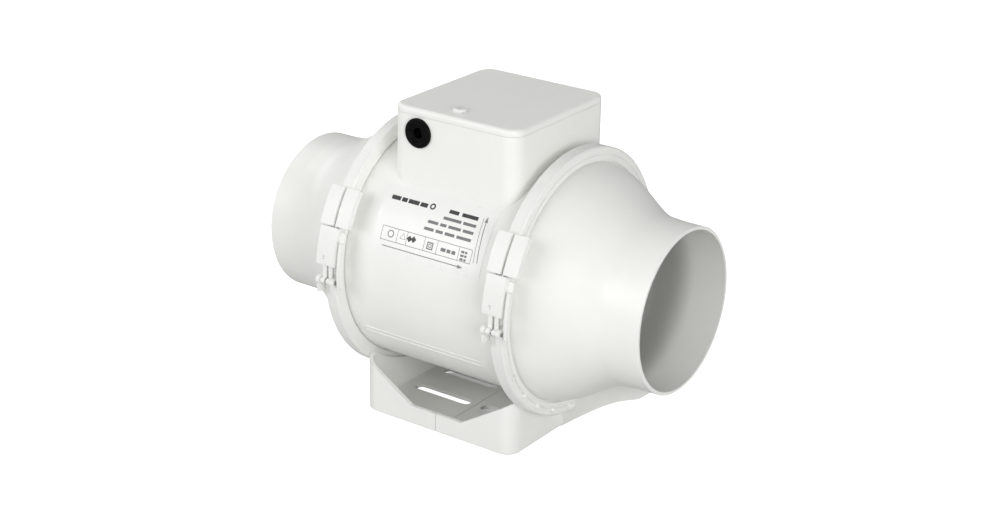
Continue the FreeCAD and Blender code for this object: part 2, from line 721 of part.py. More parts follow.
def terminal_box():
    """The four walls of the box that stands on the barrel."""
    walls = rounded_prism(BOX_X0, BOX_X1, -BOX_HALF_Y, BOX_HALF_Y, AXIS_HEIGHT, BOX_TOP, BOX_CORNER)
    inner = rounded_prism(BOX_X0 + BOX_WALL, BOX_X1 - BOX_WALL, -BOX_HALF_Y + BOX_WALL,
                          BOX_HALF_Y - BOX_WALL, AXIS_HEIGHT - 1.0, BOX_TOP + 1.0, BOX_CORNER - BOX_WALL)
    rebate = rounded_prism(BOX_X0 + REBATE_INSET, BOX_X1 - REBATE_INSET, -BOX_HALF_Y + REBATE_INSET,
                           BOX_HALF_Y - REBATE_INSET, BOX_TOP - SEAL_REBATE, BOX_TOP + 1.0,
                           BOX_CORNER - REBATE_INSET)
    entry = along_y(GROMMET_X, -BOX_HALF_Y - 2.0, -BOX_HALF_Y + 4.0, GROMMET_Z, GROMMET_NECK_R)
    barrel_room = rod(BOX_X0 - 1.0, BOX_X1 + 1.0, CASING_R)
    walls = walls.cut(inner).cut(rebate).cut(entry).cut(barrel_room)
    return Part.makeCompound(wall_runs(walls))


def box_plinths():
    """Seats on top of the barrel for the terminal strip, cable clamp, capacitor clip and cover screw."""
    barrel_room = rod(BOX_X0 - 1.0, BOX_X1 + 1.0, CASING_R)
    boss = post(0.0, COVER_SCREW_Y, 140.0, BOX_TOP - 0.4, COVER_BOSS_R)
    seats = [
        box(BLOCK_X0 - 0.5, BLOCK_X1 + 0.5, -BLOCK_HALF_Y - 2.5, BLOCK_HALF_Y + 2.5, 160.5, PLINTH_TOP),
        box(GROMMET_X - CLAMP_HALF_X, GROMMET_X + CLAMP_HALF_X, CLAMP_Y0, CLAMP_Y1, 152.0, CLAMP_FLOOR),
        box(CAPACITOR_X - 7.0, CAPACITOR_X + 7.0, -2.0 * CLIP_HALF, 2.0 * CLIP_HALF, 157.0, CLIP_PLINTH_TOP),
        boss.cut(post(0.0, COVER_SCREW_Y, COVER_BOSS_BORE_Z, BOX_TOP + 1.0, COVER_BOSS_BORE_R)),
    ]
    return Part.makeCompound([seat.cut(barrel_room) for seat in seats])


def rating_label():
    """Thin film on the front of the casing."""
    return sector(LABEL_X0, LABEL_X1, CASING_R, CASING_R + LABEL_THICK, LABEL_PHI0, LABEL_PHI1)


# ---------------------------------------------------------------- cover
def inset_prism(inset, z0, z1):
    """Upright block with the box's outline moved inwards."""
    return rounded_prism(BOX_X0 + inset, BOX_X1 - inset, -BOX_HALF_Y + inset, BOX_HALF_Y - inset,
                         z0, z1, BOX_CORNER - inset)


def box_cover():
    """Lid of the terminal box with a locating lip."""
    plate = round_edges(inset_prism(0.0, LID_BOTTOM, LID_TOP), LID_EDGE,
                        lambda edge: edge.BoundBox.ZMin > LID_TOP - 0.01)
    lip_z = LID_BOTTOM - LIP_DEPTH
    lip_inset = BOX_WALL + LIP_CLEARANCE
    lip = inset_prism(lip_inset, lip_z, LID_BOTTOM + 0.5)
    hollow = inset_prism(lip_inset + LIP_THICK, lip_z - 1.0, LID_BOTTOM + LID_HOLLOW)
    collar = post(0.0, COVER_SCREW_Y, LID_BOTTOM + 0.2, LID_TOP - 1.0, COVER_COLLAR_R)
    lid = fused([fused([plate, lip]).cut(hollow), collar])
    return lid.cut(post(0.0, COVER_SCREW_Y, LID_BOTTOM - 1.0, LID_TOP + 1.0, COVER_SCREW_R))


def cover_screw():
    """Long screw with a broad domed head, in front of the lid's middle."""
    return screw(0.0, COVER_SCREW_Y, COVER_SCREW_TIP, LID_TOP, COVER_SCREW_R, COVER_HEAD_R,
                 COVER_HEAD_HEIGHT, COVER_HEAD_EDGE)


def cover_seal():
    """Rubber frame in the rebate along the top of the walls."""
    outer = inset_prism(SEAL_OUTSET, BOX_TOP - SEAL_REBATE + SEAL_PLAY, LID_BOTTOM)
    return outer.cut(inset_prism(BOX_WALL + SEAL_PLAY, BOX_TOP - 3.0, LID_BOTTOM + 1.0))


# ---------------------------------------------------------------- terminal box contents
def cable_grommet():
    """Rubber grommet in the front wall, with a dished membrane round the cable hole."""
    wall = -BOX_HALF_Y
    face = wall - GROMMET_FRONT
    inside = wall + BOX_WALL
    front = along_y(GROMMET_X, face, wall, GROMMET_Z, GROMMET_R)
    front = round_edges(front, GROMMET_EDGE, lambda edge: edge.BoundBox.YMax < face + 0.1)
    neck = along_y(GROMMET_X, wall, inside, GROMMET_Z, GROMMET_NECK_R)
    back = along_y(GROMMET_X, inside, inside + GROMMET_BACK, GROMMET_Z, GROMMET_BACK_R)
    dish = Part.makeCone(DISH_R, DISH_FLOOR_R, DISH_DEPTH, point(GROMMET_X, face, GROMMET_Z), Y_DIR)
    pocket = along_y(GROMMET_X, wall + MEMBRANE_BACK, inside + 3.0, GROMMET_Z, POCKET_R)
    hole = along_y(GROMMET_X, face - 1.0, inside + 3.0, GROMMET_Z, CABLE_R)
    return fused([front, neck, back]).cut(dish).cut(pocket).cut(hole)


def clamp_screw_places():
    middle_y = 0.5 * (CLAMP_Y0 + CLAMP_Y1)
    return [(GROMMET_X - CLAMP_SCREW_X, middle_y), (GROMMET_X + CLAMP_SCREW_X, middle_y)]


def cable_clamp():
    """Bar on two legs that holds the mains cable down on its plinth."""
    bar = box(GROMMET_X - CLAMP_HALF_X, GROMMET_X + CLAMP_HALF_X, CLAMP_Y0, CLAMP_Y1,
              CLAMP_GRIP, CLAMP_GRIP + CLAMP_BAR)
    legs = [box(x - CLAMP_SPACER_HALF, x + CLAMP_SPACER_HALF, CLAMP_Y0, CLAMP_Y1, CLAMP_FLOOR, CLAMP_GRIP)
            for x, y in clamp_screw_places()]
    clamp = fused([bar] + legs)
    for x, y in clamp_screw_places():
        clamp = clamp.cut(post(x, y, CLAMP_FLOOR - 1.0, CLAMP_GRIP + CLAMP_BAR + 1.0, CLAMP_SCREW_R))
    return clamp


def cable_clamp_screws():
    return Part.makeCompound([
        screw(x, y, CLAMP_FLOOR, CLAMP_GRIP + CLAMP_BAR, CLAMP_SCREW_R, CLAMP_HEAD_R, CLAMP_HEAD_HEIGHT)
        for x, y in clamp_screw_places()])


def terminal_block():
    """Four-pole screw terminal strip."""
    block = box(BLOCK_X0, BLOCK_X1, -BLOCK_HALF_Y, BLOCK_HALF_Y, PLINTH_TOP, BLOCK_TOP)
    towers = [box(x - TOWER_HALF_X, x + TOWER_HALF_X, -TOWER_HALF_Y, TOWER_HALF_Y, BLOCK_TOP - 0.5, TOWER_TOP)
              for x in TERMINAL_XS]
    block = fused([block] + towers)
    for x in TERMINAL_XS:
        block = block.cut(along_y(x, -TOWER_HALF_Y - 1.0, TOWER_HALF_Y + 1.0, WIRE_HOLE_Z, WIRE_HOLE_R))
        for y in (-TERMINAL_SCREW_Y, TERMINAL_SCREW_Y):
            block = block.cut(post(x, y, TERMINAL_WELL_Z, TOWER_TOP + 1.0, TERMINAL_WELL_R))
    return block


def terminal_screws():
    """Slotted screws sunk in the towers."""
    top = TOWER_TOP - 0.8
    screws = []
    for x in TERMINAL_XS:
        for y in (-TERMINAL_SCREW_Y, TERMINAL_SCREW_Y):
            body = post(x, y, top - 2.2, top, TERMINAL_SCREW_R)
            screws.append(body.cut(box(x - 2.0, x + 2.0, y - 0.3, y + 0.3, top - 0.7, top + 1.0)))
    return Part.makeCompound(screws)


def run_capacitor():
    """Motor capacitor lying across the box."""
    body = along_y(CAPACITOR_X, -CAPACITOR_HALF, CAPACITOR_HALF, CAPACITOR_Z, CAPACITOR_R)
    return round_edges(body, CAPACITOR_EDGE, lambda edge: edge.BoundBox.YLength < 0.01)


def capacitor_clip():
    """Spring saddle round the capacitor, open on top and standing on its plinth."""
    outer_r = CAPACITOR_R + CLIP_THICK
    ring = along_y(CAPACITOR_X, -CLIP_HALF, CLIP_HALF, CAPACITOR_Z, outer_r)
    ring = ring.cut(along_y(CAPACITOR_X, -CLIP_HALF - 1.0, CLIP_HALF + 1.0, CAPACITOR_Z, CAPACITOR_R))
    mouth = box(CAPACITOR_X - CLIP_MOUTH_HALF, CAPACITOR_X + CLIP_MOUTH_HALF, -2.0 * CLIP_HALF,
                2.0 * CLIP_HALF, CLIP_MOUTH_Z, CAPACITOR_Z + outer_r + 1.0)
    below = box(CAPACITOR_X - outer_r - 1.0, CAPACITOR_X + outer_r + 1.0, -2.0 * CLIP_HALF,
                2.0 * CLIP_HALF, CAPACITOR_Z - outer_r - 1.0, CLIP_PLINTH_TOP)
    return ring.cut(mouth).cut(below)


def motor_lead():
    """Sheathed lead from the motor hub up into the terminal box."""
    return post(LEAD_X, 0.0, AXIS_HEIGHT + HUB_R, LEAD_TOP, LEAD_R)


def lead_grommet():
    """Rubber bush where the lead passes the casing wall."""
    top = AXIS_HEIGHT + CASING_R
    low = AXIS_HEIGHT + CASING_BORE_R + 0.2
    body = post(LEAD_X, 0.0, low, top, LEAD_R + LEAD_BUSH_WALL)
    rim = post(LEAD_X, 0.0, top, top + LEAD_BUSH_RISE, LEAD_R + LEAD_BUSH_RIM)
    return fused([body, rim]).cut(post(LEAD_X, 0.0, low - 1.0, top + LEAD_BUSH_RISE + 1.0, LEAD_R))


def terminal_leads():
    """Three wires from the end of the sheath to the last terminal's side."""
    end_x = TERMINAL_XS[-1] + TOWER_HALF_X
    eighth = math.pi / 4.0
    wires = []
    for y, end_z in WIRE_ENDS:
        start = point(LEAD_X, y, LEAD_TOP)
        turn = point(LEAD_X, y, end_z - WIRE_BEND)
        middle = point(LEAD_X - WIRE_BEND * (1.0 - math.cos(eighth)), y,
                       end_z - WIRE_BEND + WIRE_BEND * math.sin(eighth))
        level = point(LEAD_X - WIRE_BEND, y, end_z)
        route = [Part.makeLine(start, turn), Part.Arc(turn, middle, level).toShape(),
                 Part.makeLine(level, point(end_x, y, end_z))]
        section = Part.Wire(Part.makeCircle(WIRE_R, start, Z_DIR))
        wires.append(Part.Wire(route).makePipeShell([section], True, True))
    return Part.makeCompound(wires)


# ---------------------------------------------------------------- motor
def motor_hub():
    """Cup that holds the motor, with the front bearing's seat."""
    cup = tube(HUB_X0, HUB_X1, HUB_R - HUB_WALL, HUB_R)
    front = tube(HUB_X0, HUB_X0 + HUB_FRONT_WALL, INNER_RACE_R, HUB_R)
    seat = tube(HUB_X0, FRONT_BEARING_X + BEARING_WIDTH, BEARING_R, BEARING_R + SEAT_WALL)
    lead_hole = post(LEAD_X, 0.0, AXIS_HEIGHT + HUB_R - 4.0, AXIS_HEIGHT + HUB_R + 1.0, LEAD_R - 0.4)
    return fused([cup, front, seat]).cut(lead_hole)


def arc_in_plan(xy_points):
    start, middle, end = [point(x, y, AXIS_HEIGHT) for x, y in xy_points]
    return Part.Arc(start, middle, end).toShape()


def guide_vanes():
    """Curved vanes that straighten the swirl and carry the hub."""
    face_edge = arc_in_plan(VANE_FACE)
    back_edge = arc_in_plan(VANE_BACK)
    tail = Part.makeLine(point(*VANE_FACE[2], AXIS_HEIGHT), point(*VANE_BACK[0], AXIS_HEIGHT))
    nose = Part.makeLine(point(*VANE_BACK[2], AXIS_HEIGHT), point(*VANE_FACE[0], AXIS_HEIGHT))
    vane = Part.Face(Part.Wire([face_edge, tail, back_edge, nose])).extrude(point(0, 0, CASING_R))
    vane = vane.common(tube(VANE_RING_X0, VANE_RING_X1, HUB_R, VANE_RING_R))
    step = 360.0 / VANE_COUNT
    return Part.makeCompound([turned(vane, (index + 0.5) * step) for index in range(VANE_COUNT)])


def vane_outer_ring():
    """Thin ring round the vanes that sits in the casing, with a hole for the motor lead."""
    ring = tube(VANE_RING_X0, VANE_RING_X1, VANE_RING_R, CASING_BORE_R)
    return ring.cut(post(LEAD_X, 0.0, AXIS_HEIGHT + VANE_RING_R - 2.0, AXIS_HEIGHT + CASING_R, LEAD_R + 0.6))


def dome_screw_place(shape, index):
    """Turn a shape drawn above the axis to one of the dome's screw places."""
    step = 360.0 / DOME_SCREW_COUNT
    return turned(shape, (index + 0.5) * step)


def motor_rear_cover():
    """Domed cap on the back of the hub cup, with the rear bearing's seat."""
    outside = [(HUB_X1, 0.0), (HUB_X1, HUB_R)] + [(HUB_X1 + x, r) for x, r in DOME_OUTSIDE]
    first_inside_r = DOME_INSIDE[0][1]
    inside = [(HUB_X1 - 1.0, 0.0), (HUB_X1 - 1.0, first_inside_r)]
    inside += [(HUB_X1 + x, r) for x, r in DOME_INSIDE]
    dome = spin(profile_face(outside)).cut(spin(profile_face(inside)))
    seat = tube(REAR_BEARING_X, REAR_BEARING_X + BEARING_WIDTH + 4.0, BEARING_R, BEARING_R + SEAT_WALL)
    cap = fused([dome, seat])
    hole = rod(HUB_X1 - 1.0, HUB_X1 + 9.0, DOME_SCREW_R, 0.0, AXIS_HEIGHT + DOME_SCREW_PLACE_R)
    for index in range(DOME_SCREW_COUNT):
        cap = cap.cut(dome_screw_place(hole, index))
    return cap


def motor_cover_screws():
    z = AXIS_HEIGHT + DOME_SCREW_PLACE_R
    seat_x = HUB_X1 + 5.8
    head_top = seat_x + 1.4
    shank = rod(HUB_X1 + 0.2, seat_x + 0.1, DOME_SCREW_R, 0.0, z)
    head = rod(seat_x, head_top, DOME_HEAD_R, 0.0, z)
    slot = box(head_top - 0.7, head_top + 1.0, -DOME_HEAD_R - 1.0, DOME_HEAD_R + 1.0, z - 0.35, z + 0.35)
    one = fused([shank, head]).cut(slot)
    return Part.makeCompound([dome_screw_place(one, index) for index in range(DOME_SCREW_COUNT)])


def stator_core():
    """Laminated stack with open winding slots."""
    stack = tube(STATOR_X0, STATOR_X1, STATOR_BORE_R, STATOR_R)
    slot = box(STATOR_X0 - 1.0, STATOR_X1 + 1.0, -SLOT_HALF, SLOT_HALF,
               AXIS_HEIGHT + STATOR_BORE_R + TOOTH_TIP - 0.1, AXIS_HEIGHT + STATOR_R - YOKE)
    mouth = box(STATOR_X0 - 1.0, STATOR_X1 + 1.0, -SLOT_MOUTH_HALF, SLOT_MOUTH_HALF,
                AXIS_HEIGHT + STATOR_BORE_R - 1.0, AXIS_HEIGHT + STATOR_BORE_R + TOOTH_TIP)
    tool = fused([slot, mouth])
    step = 360.0 / SLOT_COUNT
    return stack.cut(Part.makeCompound([turned(tool, index * step) for index in range(SLOT_COUNT)]))


def stator_windings():
    """Copper coil heads at both ends of the stack."""
    heads = []
    for x0, x1 in ((STATOR_X0 - COIL_FRONT, STATOR_X0), (STATOR_X1, STATOR_X1 + COIL_REAR)):
        head = tube(x0, x1, STATOR_BORE_R + TOOTH_TIP + 0.1, STATOR_R - YOKE - 0.2)
        heads.append(head.makeFillet(COIL_EDGE, head.Edges))
    return Part.makeCompound(heads)


def bearing_outer_rings():
    """Outer races with their shields."""
    rings = []
    for start in (FRONT_BEARING_X, REAR_BEARING_X):
        end = start + BEARING_WIDTH
        first_shield = start + SHIELD_THICK
        second_shield = end - SHIELD_THICK
        outline = [(start, SHIELD_R), (first_shield, SHIELD_R), (first_shield, SHIELD_BACK_R),
                   (second_shield, SHIELD_BACK_R), (second_shield, SHIELD_R), (end, SHIELD_R),
                   (end, BEARING_R), (start, BEARING_R)]
        rings.append(spin(profile_face(outline)))
    return Part.makeCompound(rings)


def bearing_inner_rings():
    return Part.makeCompound([tube(x, x + BEARING_WIDTH, SHAFT_R, INNER_RACE_R)
                              for x in (FRONT_BEARING_X, REAR_BEARING_X)])


def rotor_core():
    return tube(STATOR_X0, STATOR_X1, SHAFT_R, ROTOR_R)


def motor_shaft():
    shaft = rod(SHAFT_X0, SHAFT_X1, SHAFT_R)
    return shaft.makeChamfer(0.6, [edge for edge in shaft.Edges if edge.BoundBox.XLength < 0.01])


# ---------------------------------------------------------------- impeller
def blade():
    """One twisted blade, trimmed to the hub and to the tip line."""
    sections = []
    for radius, pitch, chord, mid_x in BLADE_SECTIONS:
        half = 0.5 * chord
        along = math.cos(math.radians(pitch))
        across = math.sin(math.radians(pitch))
        corners = []
        for reach, side in ((-half, -1), (half, -1), (half, 1), (-half, 1)):
            x = mid_x + reach * along - side * BLADE_HALF * across
            y = reach * across + side * BLADE_HALF * along
            corners.append(point(x, y, AXIS_HEIGHT + radius))
        sections.append(Part.makePolygon(corners + corners[:1]))
    solid = Part.makeLoft(sections, True, False)
    room = spin(profile_face([
        (IMPELLER_X0, HUB_FRONT_R), (IMPELLER_X0 + HUB_ROUND, HUB_FRONT_R), (IMPELLER_X1, HUB_BACK_R),
        (IMPELLER_X1, TIP_BACK_R), (IMPELLER_X0, TIP_FRONT_R),
    ]))
    return solid.common(room)


def impeller_blades():
    one_blade = blade()
    step = 360.0 / BLADE_COUNT
    return Part.makeCompound([turned(one_blade, index * step) for index in range(BLADE_COUNT)])


def impeller_hub():
    """Conical hub shell of the mixed-flow wheel, with its shaft boss and webs."""
    nose_back = IMPELLER_X0 + HUB_NOSE_WALL
    shell = spin(profile_face([
        (IMPELLER_X0, SHAFT_R), (IMPELLER_X0, HUB_FRONT_R - HUB_NOSE_WALL),
        (IMPELLER_X0 + HUB_ROUND, HUB_FRONT_R), (IMPELLER_X1, HUB_BACK_R),
        (IMPELLER_X1, HUB_BACK_R - HUB_SHELL_WALL), (nose_back, HUB_FRONT_R - HUB_SHELL_WALL),
        (nose_back, SHAFT_R),
    ]))
    boss = tube(IMPELLER_X0, BOSS_X1, SHAFT_R, BOSS_R)
    web = box(WEB_ROOM[0][0], WEB_ROOM[1][0], -WEB_HALF, WEB_HALF, AXIS_HEIGHT + BOSS_R - 1.0,
              AXIS_HEIGHT + HUB_BACK_R)
    web = web.common(spin(profile_face(list(WEB_ROOM))))
    webs = [turned(web, 360.0 / WEB_COUNT * index) for index in range(WEB_COUNT)]
    return fused([shell, boss] + webs)


def impeller_washer():
    return tube(IMPELLER_X0 - WASHER_THICK, IMPELLER_X0, SHAFT_R, WASHER_R)


def impeller_nut():
    back_x = IMPELLER_X0 - WASHER_THICK
    corners = [point(back_x - NUT_HEIGHT, NUT_R * math.cos(math.radians(60.0 * index)),
                     AXIS_HEIGHT + NUT_R * math.sin(math.radians(60.0 * index))) for index in range(6)]
    block = Part.Face(Part.makePolygon(corners + corners[:1])).extrude(point(NUT_HEIGHT, 0, 0))
    return block.cut(rod(back_x - NUT_HEIGHT - 1.0, back_x + 1.0, SHAFT_R))


# ---------------------------------------------------------------- all nodes
def all_parts():
    outlet_end = duct_end()
    return {
        "inlet_duct_end": mirrored_x(outlet_end),
        "outlet_duct_end": outlet_end,
        "inlet_foot_half": foot_half(-1),
        "outlet_foot_half": foot_half(1),
        "foot_joining_screws": foot_joining_screws(),
        "inlet_clamp_strap": clamp_strap(-1),
        "outlet_clamp_strap": clamp_strap(1),
        "inlet_flange_seal": flange_seal(-1),
        "outlet_flange_seal": flange_seal(1),
        "hinge_pins": hinge_pins(),
        "inlet_latch": latch_lever(-1),
        "outlet_latch": latch_lever(1),
        "motor_casing": motor_casing(),
        "terminal_box": terminal_box(),
        "box_plinths": box_plinths(),
        "rating_label": rating_label(),
        "terminal_box_cover": box_cover(),
        "cover_screw": cover_screw(),
        "cover_seal": cover_seal(),
        "cable_grommet": cable_grommet(),
        "cable_clamp": cable_clamp(),
        "cable_clamp_screws": cable_clamp_screws(),
        "terminal_block": terminal_block(),
        "terminal_screws": terminal_screws(),
        "run_capacitor": run_capacitor(),
        "capacitor_clip": capacitor_clip(),
        "motor_lead": motor_lead(),
        "lead_grommet": lead_grommet(),
        "terminal_leads": terminal_leads(),
        "motor_hub": motor_hub(),
        "guide_vanes": guide_vanes(),
        "vane_outer_ring": vane_outer_ring(),
        "motor_rear_cover": motor_rear_cover(),
        "motor_cover_screws": motor_cover_screws(),
        "stator_core": stator_core(),
        "stator_windings": stator_windings(),
        "bearing_outer_rings": bearing_outer_rings(),
        "bearing_inner_rings": bearing_inner_rings(),
        "rotor_core": rotor_core(),
        "motor_shaft": motor_shaft(),
        "impeller_hub": impeller_hub(),
        "impeller_blades": impeller_blades(),
        "impeller_washer": impeller_washer(),
        "impeller_nut": impeller_nut(),
    }


os.makedirs("parts", exist_ok=True)
for name, shape in all_parts().items():
    shape.exportStep(os.path.join("parts", name + ".step"))
    print(name, "valid" if shape.isValid() else "INVALID", len(shape.Solids), "solids",
          round(shape.Volume / 1000.0, 2), "cm3")
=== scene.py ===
import json
import math

import bpy
from mathutils import Matrix, Vector


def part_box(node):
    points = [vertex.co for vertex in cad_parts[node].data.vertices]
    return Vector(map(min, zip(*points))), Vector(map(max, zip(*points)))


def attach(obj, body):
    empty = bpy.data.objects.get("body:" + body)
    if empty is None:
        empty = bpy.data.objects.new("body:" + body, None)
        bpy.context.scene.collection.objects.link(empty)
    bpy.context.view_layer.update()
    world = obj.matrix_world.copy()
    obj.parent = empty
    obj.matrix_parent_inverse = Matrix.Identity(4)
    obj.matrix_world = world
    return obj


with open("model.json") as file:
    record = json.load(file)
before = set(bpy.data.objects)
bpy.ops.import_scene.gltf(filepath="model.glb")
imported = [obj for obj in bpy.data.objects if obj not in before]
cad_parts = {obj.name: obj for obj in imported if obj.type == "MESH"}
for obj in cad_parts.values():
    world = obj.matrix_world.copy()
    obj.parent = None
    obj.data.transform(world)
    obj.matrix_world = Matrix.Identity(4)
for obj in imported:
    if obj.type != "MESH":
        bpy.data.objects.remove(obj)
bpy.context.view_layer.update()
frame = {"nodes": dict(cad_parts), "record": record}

MM = 0.001

# ---------------------------------------------------------------- sizes worked out from the frame
ring_low, ring_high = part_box("outlet_flange_seal")
label_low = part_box("rating_label")[0]
AXIS_Z = 0.5 * (ring_low.z + ring_high.z)
LABEL_BOTTOM_PHI = 14.0
LABEL_R = -label_low.y / math.cos(math.radians(LABEL_BOTTOM_PHI))

# ---------------------------------------------------------------- camera and light
CAMERA_PLACE = (0.6168, -0.8751, 0.5257)
CAMERA_AZIMUTH = 34.94
CAMERA_ELEVATION = 22.16
CAMERA_ROLL = 1.18
CAMERA_LENS = 71.38
SENSOR_WIDTH = 36.0
HORIZON_LIGHT = 0.55
ZENITH_LIGHT = 0.31

# Each softbox: name, place, width, height, radiance it gives a white surface that faces it.
SOFTBOXES = (
    ("front_softbox", (-0.62, -1.55, 0.80), 1.3, 0.9, 0.325),
    ("right_softbox", (1.5, -0.9, 0.60), 1.0, 0.9, 0.44),
    ("left_softbox", (-1.3, 0.2, 1.00), 1.0, 1.0, 0.26),
)

# ---------------------------------------------------------------- floor
FLOOR_HALF = 6.0
FLOOR_DROP = 0.05 * MM
FLOOR_COLOR = (0.61, 0.61, 0.61)
FLOOR_GLOW = 1.0
# Painted shadow on the paper under the foot, and a painted patch of light under one slot of it.
PAINTED_SHADOW_GLOW = 0.2
PAINTED_SHADOW_RADIUS = 51.0 * MM
PAINTED_SHADOW_STRETCH = (1.0, 1.6, 1.0)
PAINTED_SLOT_LIGHT_CENTRE = (-24.0 * MM, -14.0 * MM, 0.0)
PAINTED_SLOT_LIGHT_RADIUS = 22.0 * MM
SHADE_EDGE = 3.0 * MM


# ---------------------------------------------------------------- node helpers
def new_material(name):
    """Material with a Principled shader; returns the material, its tree and the shader."""
    material = bpy.data.materials.new(name)
    material.use_nodes = True
    tree = material.node_tree
    shader = tree.nodes["Principled BSDF"]
    return material, tree, shader


def add(tree, kind, **values):
    node = tree.nodes.new(kind)
    for key, value in values.items():
        setattr(node, key, value)
    return node


def noise(tree, scale, detail=4.0, roughness=0.55, stretch=(1.0, 1.0, 1.0)):
    """Noise in the piece's own coordinates; scale is in features per metre."""
    where = add(tree, "ShaderNodeTexCoord")
    mapping = add(tree, "ShaderNodeMapping")
    mapping.inputs["Scale"].default_value = stretch
    texture = add(tree, "ShaderNodeTexNoise")
    texture.inputs["Scale"].default_value = scale
    texture.inputs["Detail"].default_value = detail
    texture.inputs["Roughness"].default_value = roughness
    tree.links.new(where.outputs["Object"], mapping.inputs["Vector"])
    tree.links.new(mapping.outputs["Vector"], texture.inputs["Vector"])
    return texture.outputs["Fac"]


def remap(tree, value, low, high, from_low=0.3, from_high=0.7):
    node = add(tree, "ShaderNodeMapRange")
    node.inputs["From Min"].default_value = from_low
    node.inputs["From Max"].default_value = from_high
    node.inputs["To Min"].default_value = low
    node.inputs["To Max"].default_value = high
    tree.links.new(value, node.inputs["Value"])
    return node.outputs["Result"]


def mix_colors(tree, factor, first, second):
    node = add(tree, "ShaderNodeMix", data_type="RGBA")
    node.inputs["A"].default_value = (*first, 1.0)
    node.inputs["B"].default_value = (*second, 1.0)
    tree.links.new(factor, node.inputs["Factor"])
    return node.outputs["Result"]


def bump_chain(tree, shader, layers, bevel=0.0):
    """Stack bumps of (height, distance in metres, strength) and an optional edge rounding."""
    normal = None
    if bevel > 0.0:
        rounding = add(tree, "ShaderNodeBevel", samples=4)
        rounding.inputs["Radius"].default_value = bevel
        normal = rounding.outputs["Normal"]
    for height, distance, strength in layers:
        bump = add(tree, "ShaderNodeBump")
        bump.inputs["Distance"].default_value = distance
        bump.inputs["Strength"].default_value = strength
        tree.links.new(height, bump.inputs["Height"])
        if normal is not None:
            tree.links.new(normal, bump.inputs["Normal"])
        normal = bump.outputs["Normal"]
    tree.links.new(normal, shader.inputs["Normal"])


# ---------------------------------------------------------------- materials
def moulded_plastic(name, color, shade, roughness, grain=0.5, bevel=0.35 * MM, coat=0.12):
    """Injection-moulded plastic: slight tone drift, fine grain, faint flow waves, soft edges."""
    material, tree, shader = new_material(name)
    drift = noise(tree, 14.0, 3.0)
    speck = noise(tree, 900.0, 2.0)
    tone = add(tree, "ShaderNodeMath", operation="MULTIPLY_ADD")
    tree.links.new(speck, tone.inputs[0])
    tone.inputs[1].default_value = 0.35
    tree.links.new(drift, tone.inputs[2])
    tree.links.new(mix_colors(tree, remap(tree, tone.outputs["Value"], 0.0, 1.0, 0.45, 0.9), shade, color),
                   shader.inputs["Base Color"])
    smear = noise(tree, 60.0, 4.0, stretch=(1.0, 1.0, 0.4))
    tree.links.new(remap(tree, smear, roughness - 0.05, roughness + 0.07), shader.inputs["Roughness"])
    shader.inputs["IOR"].default_value = 1.5
    shader.inputs["Coat Weight"].default_value = coat
    shader.inputs["Coat Roughness"].default_value = 0.28
    waves = noise(tree, 45.0, 2.0)
    fine = noise(tree, 2600.0, 2.0)
    bump_chain(tree, shader, [(waves, 0.5 * MM, 0.10), (fine, 0.05 * MM, grain)], bevel)
    return material


def rubber(name, color, roughness=0.55, shine=0.5):
    material, tree, shader = new_material(name)
    dust = noise(tree, 120.0, 5.0)
    lighter = tuple(min(1.0, 1.8 * c + 0.004) for c in color)
    shader.inputs["Specular IOR Level"].default_value = shine
    tree.links.new(mix_colors(tree, remap(tree, dust, 0.0, 1.0, 0.5, 0.8), color, lighter),
                   shader.inputs["Base Color"])
    tree.links.new(remap(tree, dust, roughness - 0.06, roughness + 0.12), shader.inputs["Roughness"])
    fine = noise(tree, 3000.0, 3.0)
    bump_chain(tree, shader, [(fine, 0.04 * MM, 0.5)], 0.3 * MM)
    return material


def turned_steel(name, color, roughness=0.3, stretch=(0.05, 1.0, 1.0)):
    """Bright plated steel with fine lines along one direction."""
    material, tree, shader = new_material(name)
    lines = noise(tree, 5000.0, 3.0, stretch=stretch)
    blotch = noise(tree, 90.0, 4.0)
    darker = tuple(0.72 * c for c in color)
    tree.links.new(mix_colors(tree, remap(tree, blotch, 0.0, 1.0), darker, color),
                   shader.inputs["Base Color"])
    shader.inputs["Metallic"].default_value = 1.0
    tree.links.new(remap(tree, lines, roughness - 0.08, roughness + 0.12), shader.inputs["Roughness"])
    bump_chain(tree, shader, [(lines, 0.02 * MM, 0.6)], 0.15 * MM)
    return material


def lamination(name, pitch=0.65 * MM):
    """Stacked sheet steel: thin dark lines across the duct axis and a dull, oily tone."""
    material, tree, shader = new_material(name)
    where = add(tree, "ShaderNodeTexCoord")
    split = add(tree, "ShaderNodeSeparateXYZ")
    tree.links.new(where.outputs["Object"], split.inputs["Vector"])
    saw = add(tree, "ShaderNodeMath", operation="PINGPONG")
    tree.links.new(split.outputs["X"], saw.inputs[0])
    saw.inputs[1].default_value = 0.5 * pitch
    line = remap(tree, saw.outputs["Value"], 0.0, 1.0, 0.0, 0.25 * pitch)
    blotch = noise(tree, 160.0, 5.0)
    tone = add(tree, "ShaderNodeMath", operation="MULTIPLY")
    tree.links.new(line, tone.inputs[0])
    tree.links.new(remap(tree, blotch, 0.6, 1.0), tone.inputs[1])
    tree.links.new(mix_colors(tree, tone.outputs["Value"], (0.03, 0.03, 0.032), (0.30, 0.30, 0.31)),
                   shader.inputs["Base Color"])
    shader.inputs["Metallic"].default_value = 0.9
    tree.links.new(remap(tree, blotch, 0.38, 0.6), shader.inputs["Roughness"])
    bump_chain(tree, shader, [(line, 0.08 * MM, 0.8)])
    return material


